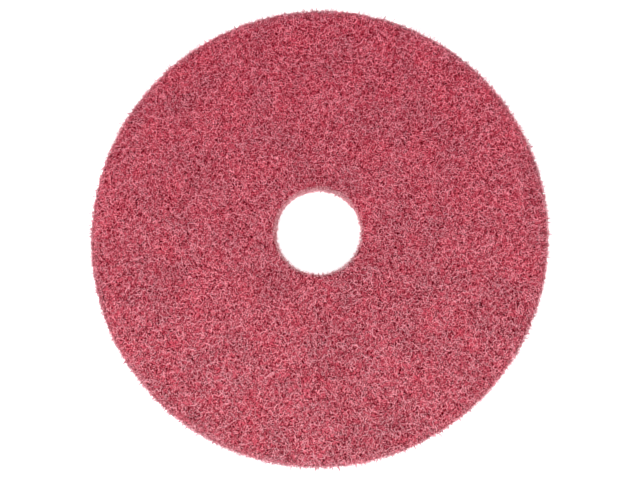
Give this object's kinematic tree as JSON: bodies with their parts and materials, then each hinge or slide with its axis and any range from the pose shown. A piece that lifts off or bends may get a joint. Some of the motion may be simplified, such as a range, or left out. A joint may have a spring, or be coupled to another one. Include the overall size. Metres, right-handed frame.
{
  "type": "floor pad",
  "caption": "Round nonwoven fibre floor pad with a centre hole, pressed onto the pad driver of a rotary floor machine to scrub or buff a floor.",
  "frame": {"origin": "on the axis of the centre hole, at the level of the working face, so the pad lies on z = 0", "axes": "+Z along the pad's axis, out of the face that meets the pad driver; X and Y are alike, because the pad is round"},
  "size_m": [0.432, 0.432, 0.025],
  "materials": {
    "fibre_web": "matte"
  },
  "bodies": {
    "root": {"floor_pad": "fibre_web"}
  },
  "joints": []
}
